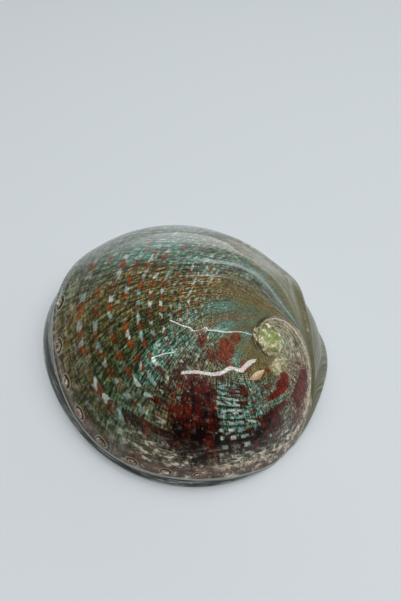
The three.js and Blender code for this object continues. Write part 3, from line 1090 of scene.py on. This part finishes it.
# %% Streaks along the keel
wear_noise = drawn_out(0.3, 40, detail=4, roughness=0.6)
keel_streaks = drawn_out(0.22, 150, detail=4, roughness=0.75, layer=27.0)
keel_paint = outside.bands(keel_streaks, (
    (0.38, rgb(22, 22, 18)), (0.44, rgb(78, 84, 72)), (0.48, rgb(100, 62, 48)),
    (0.52, rgb(98, 116, 104)), (0.56, rgb(158, 142, 120)), (0.6, rgb(232, 222, 206))))
keel_zone = ramp(add(share, about_zero(wear_noise, 0.06)), 0.06, 0.02)
keel_zone = times(keel_zone, ramp(age, 80, 105, 0.2, 0.85))
keel_zone = times(keel_zone, ramp(red_patch, 0.9, 0.3, 0.2, 1.0))
pattern = lay(keel_zone, pattern, keel_paint)
keel_pink = times(ramp(share, 0.016, 0.004), ramp(age, 40, 75))
keel_pink = times(keel_pink, ramp(wear_noise, 0.4, 0.62, 0.1, 0.6))
pattern = lay(keel_pink, pattern, paint(112, 74, 62))
report("keel")

# %% Pale line on the crest, and dark line in the step
crest_gap = far_from(outward, KEEL_EDGE)
crest = ramp(add(crest_gap, times(wear_noise, 0.5)), 0.95, 0.5)
crest_colour = lay(ramp(age, 130, 185), paint(160, 166, 156), paint(212, 190, 150))
pattern = lay(times(crest, ramp(age, 20, 60, 0.3, 0.85)), pattern, crest_colour)
suture = times(ramp(from_step, 1.5, 0.9), ramp(spire, 15, 9))
suture = times(suture, ramp(spire, 3, 5))
pattern = lay(times(suture, 0.7), pattern, paint(44, 36, 22))
report("crest and step")

# %% Ragged cream edge on the old side of the keel
cream = lay(ramp(flakes, 0.44, 0.58), paint(166, 148, 118), paint(226, 212, 186))
ragged = add(about_zero(flakes, 0.16), about_zero(wear_noise, 0.08))
worn_edge = ramp(add(share, ragged), 0.03, 0.022)
worn_edge = times(worn_edge, ramp(age, 190, 206))
pattern = lay(times(worn_edge, 0.85), pattern, cream)
cream_line = far_from(add(share, about_zero(wear_noise, 0.02)), 0.009)
cream_line = times(ramp(cream_line, 0.005, 0.002), ramp(age, 118, 132))
cream_line = times(cream_line, ramp(keel_streaks, 0.42, 0.5))
pattern = lay(times(cream_line, 0.85), pattern, cream)
report("cream edge")

# %% [markdown]
# ## Hole rims and side wall
#
# Each hole shows a cream bore with painted white glints, a dark line and a pale line round it, as its ring
# was cut through layer by layer in polishing. An open hole's walls are painted dark with pale patches:
# painted shade down the hole. Below the keel the side wall is streaked lengthwise in dark and pale layers, so
# its noise is stretched along the age and reads the height. On the front the streaks are painted darker, as
# painted shade under the keel.

# %% Rims of the holes
rim_at = add(hole, about_zero(wear_noise, 1.2))
rim_line = ramp(far_from(rim_at, 2.1), 0.36, 0.12)
pattern = lay(times(rim_line, 0.8), pattern, paint(34, 30, 24))
outer_line = ramp(far_from(rim_at, 2.75), 0.32, 0.1)
pattern = lay(times(outer_line, 0.6), pattern, paint(166, 162, 144))
hole_tint_and_glints = lay(ramp(age, 78, 112), paint(178, 170, 144), paint(186, 132, 112))
hole_tint_and_glints = lay(ramp(flakes, 0.52, 0.44), hole_tint_and_glints, paint(104, 74, 54))
# painted highlight: near-white glints laid over the cream of the hole rims
hole_tint_and_glints = lay(ramp(flakes, 0.54, 0.6), hole_tint_and_glints, paint(236, 230, 214))
pattern = lay(times(ramp(rim_at, 1.9, 1.6), 0.9), pattern, hole_tint_and_glints)
# painted shade: the walls of an open hole are painted dark, with pale patches, for the shade down the hole
bore = ramp(hole, -0.2, -0.5)
bore_shade_colour = lay(ramp(flakes, 0.5, 0.58), paint(52, 44, 36), paint(170, 160, 140))
pattern = lay(bore, pattern, bore_shade_colour)
report("hole rims")

# %% Side wall under the keel, painted darker on the front as painted shade
height_now = outside.node("ShaderNodeSeparateXYZ", {"Vector": spot}).outputs["Z"]
side = ramp(outward, KEEL_EDGE + 0.1, KEEL_EDGE + 0.7)
side_place = outside.place(times(age, 0.05), times(height_now, 1000))
side_streaks = outside.noise(side_place, detail=4, roughness=0.75)
# painted shade: the front side wall's streaks run far darker than the old side's, for the shade under the
# keel
shaded_front_side = outside.bands(side_streaks, (
    (0.40, rgb(8, 10, 8)), (0.47, rgb(38, 44, 40)), (0.53, rgb(84, 92, 86)), (0.59, rgb(176, 182, 176))))
old_side = outside.bands(side_streaks, (
    (0.38, rgb(50, 44, 28)), (0.47, rgb(94, 90, 62)), (0.54, rgb(122, 116, 84)), (0.61, rgb(196, 186, 158))))
pattern = lay(times(side, 0.95), pattern, lay(ramp(age, 150, 185), shaded_front_side, old_side))
report("side wall")

# %% Belt of the youngest growth: fine lines of olive and grey
belt = times(ramp(age, 7, 3), ramp(share, 0.5, 0.6))
belt_lines = drawn_out(2.0, 3, detail=4, roughness=0.75, layer=11.0)
belt_paint = outside.bands(belt_lines, (
    (0.38, rgb(66, 64, 42)), (0.47, rgb(92, 90, 64)), (0.54, rgb(104, 100, 74)), (0.61, rgb(130, 126, 98))))
young_fold = times(ramp(age, 36, 22), ramp(share, 0.45, 0.62))
pattern = lay(times(young_fold, 0.5), pattern, belt_paint)
pattern = lay(times(belt, 0.9), pattern, belt_paint)
report("belt")

# %% Old crest along the step, and the thin edge at the foot
crest_place = outside.place(times(age, 0.12), times(from_step, 1.6), 3.0)
crest_lines = outside.noise(crest_place, detail=3, roughness=0.7)
old_crest = far_from(from_step, 0.5)
old_crest = ramp(add(old_crest, about_zero(wear_noise, 2.0)), 1.5, 0.9)
old_crest = times(old_crest, times(ramp(spire, 11, 15), ramp(crest_lines, 0.4, 0.5)))
old_crest = times(old_crest, ramp(share, 0.5, 0.7))
old_crest_colour = lay(flakes, paint(222, 206, 176), paint(176, 158, 126))
pattern = lay(times(old_crest, 0.8), pattern, old_crest_colour)
foot_edge = ramp(height_now, 0.0009, 0.0004)
pattern = lay(times(foot_edge, 0.7), pattern, paint(150, 156, 146))
report("old crest and foot")

# %% [markdown]
# ## Lacquer over the pattern
#
# The real shell is sealed under clear lacquer, which gives sharp bright lines over a softer sheen. The
# shader's coat does this: the base stays fairly rough, with a little bump from the weave, and the coat is
# smooth. Where the lacquer is worn or thin the coat weighs less.

# %% Outside shader
height = add(times(lines, 0.6), times(threads, 0.4))
bump = outside.node("ShaderNodeBump", {"Strength": 0.2, "Distance": 0.0004, "Height": height})
gloss = ramp(lines, 0.3, 0.7, 0.45, 0.35)
bare = times(ramp(age, 150, 190), ramp(share, 0.4, 0.2))
near_keel = ramp(share, 0.2, 0.08, 0.0, 0.55)
bare = highest([times(side, 0.4), belt, times(young_fold, 0.7), near_keel, bare])
shader = outside.node("ShaderNodeBsdfPrincipled", {
    "Base Color": pattern, "Roughness": gloss, "Normal": bump.outputs[0], "Specular IOR Level": 0.2,
    "Coat Weight": ramp(bare, 0, 1, 1.0, 0.45), "Coat Roughness": 0.03, "Coat IOR": 1.42,
})
outside.node("ShaderNodeOutputMaterial", {"Surface": shader.outputs[0]})
report("lacquer")

# %% [markdown]
# ## The inside: mother of pearl
#
# Nacre is silvery and shifts between pink, green and blue in slow clouds that follow the wall's growth.
# A pale base with a little metal in it and clouds of tint gives that sheen without any trick of the view.

# %% Inside material
pearl = Nodes(bpy.data.materials.new("nacre_inside"))
spot = pearl.node("ShaderNodeTexCoord").outputs["Object"]
clouds = pearl.noise(spot, scale=42.0, detail=4, roughness=0.6)
tint = pearl.bands(clouds, (
    (0.30, rgb(150, 196, 186)), (0.42, rgb(206, 214, 206)), (0.5, rgb(214, 190, 196)),
    (0.6, rgb(176, 206, 178)), (0.72, rgb(160, 178, 208))))
wrinkles = pearl.noise(spot, scale=160.0, detail=3)
pearl_bump = pearl.node("ShaderNodeBump", {"Strength": 0.15, "Distance": 0.0006, "Height": wrinkles})
pearl_shader = pearl.node("ShaderNodeBsdfPrincipled", {
    "Base Color": tint, "Roughness": pearl.ramp(wrinkles, 0.3, 0.7, 0.18, 0.32),
    "Metallic": 0.35, "Normal": pearl_bump.outputs[0], "Coat Weight": 0.6, "Coat Roughness": 0.05,
})
pearl.node("ShaderNodeOutputMaterial", {"Surface": pearl_shader.outputs[0]})
print("mother of pearl:", len(pearl.tree.nodes), "nodes")

# %% [markdown]
# ## Putting it together
#
# The wall has two materials: faces past the middle of the lip are inside, the rest outside. The piece then
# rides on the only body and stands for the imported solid, which stays as the collision shape.

# %% Put the materials on
shell.data.materials.clear()
shell.data.materials.append(outside.owner)
shell.data.materials.append(pearl.owner)
loops = len(shell.data.loops)
inside_values = np.zeros(loops, dtype=np.float32)
shell.data.attributes["inside"].data.foreach_get("value", inside_values)
starts = np.zeros(len(shell.data.polygons), dtype=np.int32)
shell.data.polygons.foreach_get("loop_start", starts)
shell.data.polygons.foreach_set("material_index", (inside_values[starts] > 0.5).astype(np.int32))
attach(shell, "root")
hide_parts("abalone_shell")
print("materials:", [material.name for material in shell.data.materials])

# %% [markdown]
# ## Floor, light and camera
#
# The shell lies on a plain pale surface. A large soft light above gives the even shade. Three long thin
# tubes give the fine bright lines that a glossy shell shows, and a pale backdrop behind lights its far edge.

# %% Floor
FLOOR_HALF = 4.0
floor_corners = [(-FLOOR_HALF, -FLOOR_HALF, 0), (FLOOR_HALF, -FLOOR_HALF, 0),
                 (FLOOR_HALF, FLOOR_HALF, 0), (-FLOOR_HALF, FLOOR_HALF, 0)]
floor = make_object("floor", floor_corners, [(0, 1, 2, 3)])
floor_nodes = Nodes(bpy.data.materials.new("pale_table"))
floor_shader = floor_nodes.node("ShaderNodeBsdfPrincipled", {
    "Base Color": paint(206, 212, 216), "Roughness": 0.6, "Specular IOR Level": 0.2})
floor_nodes.node("ShaderNodeOutputMaterial", {"Surface": floor_shader.outputs[0]})
floor.data.materials.append(floor_nodes.owner)
print("floor", 2 * FLOOR_HALF, "m across")

# %% Camera
CAMERA_TURN = -25 * DEGREE
CAMERA_RISE = 45 * DEGREE
CAMERA_DISTANCE = 0.2569
CAMERA_LENS = 38.94
CAMERA_AIM = (-12.6, 26.3, 0)  # right, away and up from the crown, in millimetres


def around_camera(right, away, up):
    """A direction given as the camera sees the ground: right, away and up."""
    cos_turn, sin_turn = math.cos(CAMERA_TURN), math.sin(CAMERA_TURN)
    return np.array([right * cos_turn - away * sin_turn, right * sin_turn + away * cos_turn, up])


def look_at(thing, target):
    direction = Vector(target) - thing.location
    thing.rotation_euler = direction.to_track_quat("-Z", "Y").to_euler()


target = (around_camera(*CAMERA_AIM) - shift * np.array([1, 1, 0])) * MM
camera = bpy.data.objects.new("camera", bpy.data.cameras.new("camera"))
camera.data.sensor_width = 36
camera.data.lens = CAMERA_LENS
camera.data.clip_start = 0.01
towards_camera = around_camera(0, -math.cos(CAMERA_RISE), math.sin(CAMERA_RISE))
camera.location = target + CAMERA_DISTANCE * towards_camera
bpy.context.scene.collection.objects.link(camera)
look_at(camera, target)
bpy.context.scene.camera = camera
print("camera at", [round(value, 3) for value in camera.location])

# %% Lights
def area_light(name, right, away, up, size_x, size_y, power, turn=0.0, glossy=True):
    """A flat light facing straight down, turned about the vertical as the camera sees it."""
    light = bpy.data.lights.new(name, "AREA")
    light.shape = "RECTANGLE"
    light.size = size_x
    light.size_y = size_y
    light.energy = power
    thing = bpy.data.objects.new(name, light)
    thing.location = around_camera(right, away, up)
    thing.rotation_euler = (0, 0, CAMERA_TURN + turn * DEGREE)
    thing.visible_glossy = glossy
    bpy.context.scene.collection.objects.link(thing)


area_light("soft_overhead", 0.3, 0.05, 1.2, 1.8, 1.8, 17, glossy=False)
area_light("tube_far", 0.06, 0.16, 0.93, 1.05, 0.011, 0.66, turn=-28)
area_light("tube_near", 0.13, -0.33, 0.93, 0.98, 0.045, 2.2, turn=-13)
area_light("tube_left", -0.52, 0.035, 0.93, 0.30, 0.012, 0.2, turn=5)

# %% Surroundings: dark, with a pale wall low down behind and to the right
WALL_SIDE = around_camera(0.55, 0.835, 0)
WALL_BRIGHTNESS = 1.75
ROOM_BRIGHTNESS = 0.035

world = bpy.data.worlds.new("studio")
bpy.context.scene.world = world
room = Nodes(world)
direction = room.node("ShaderNodeTexCoord").outputs["Generated"]
height_seen = room.node("ShaderNodeSeparateXYZ", {"Vector": direction}).outputs["Z"]
facing_wall = room.node("ShaderNodeVectorMath", {0: direction, 1: tuple(WALL_SIDE)}, operation="DOT_PRODUCT")
low_down = room.ramp(height_seen, 0.5, 0.2)
wall_glow = room.times(low_down, room.ramp(facing_wall.outputs["Value"], 0.3, 0.75))
brightness = room.add(room.times(wall_glow, WALL_BRIGHTNESS), ROOM_BRIGHTNESS)
background = room.node("ShaderNodeBackground", {"Color": (0.86, 0.94, 1.0, 1), "Strength": brightness})
room.node("ShaderNodeOutputWorld", {"Surface": background.outputs[0]})
bpy.context.scene.view_settings.view_transform = "Standard"
print("backdrop towards", np.round(WALL_SIDE, 2))
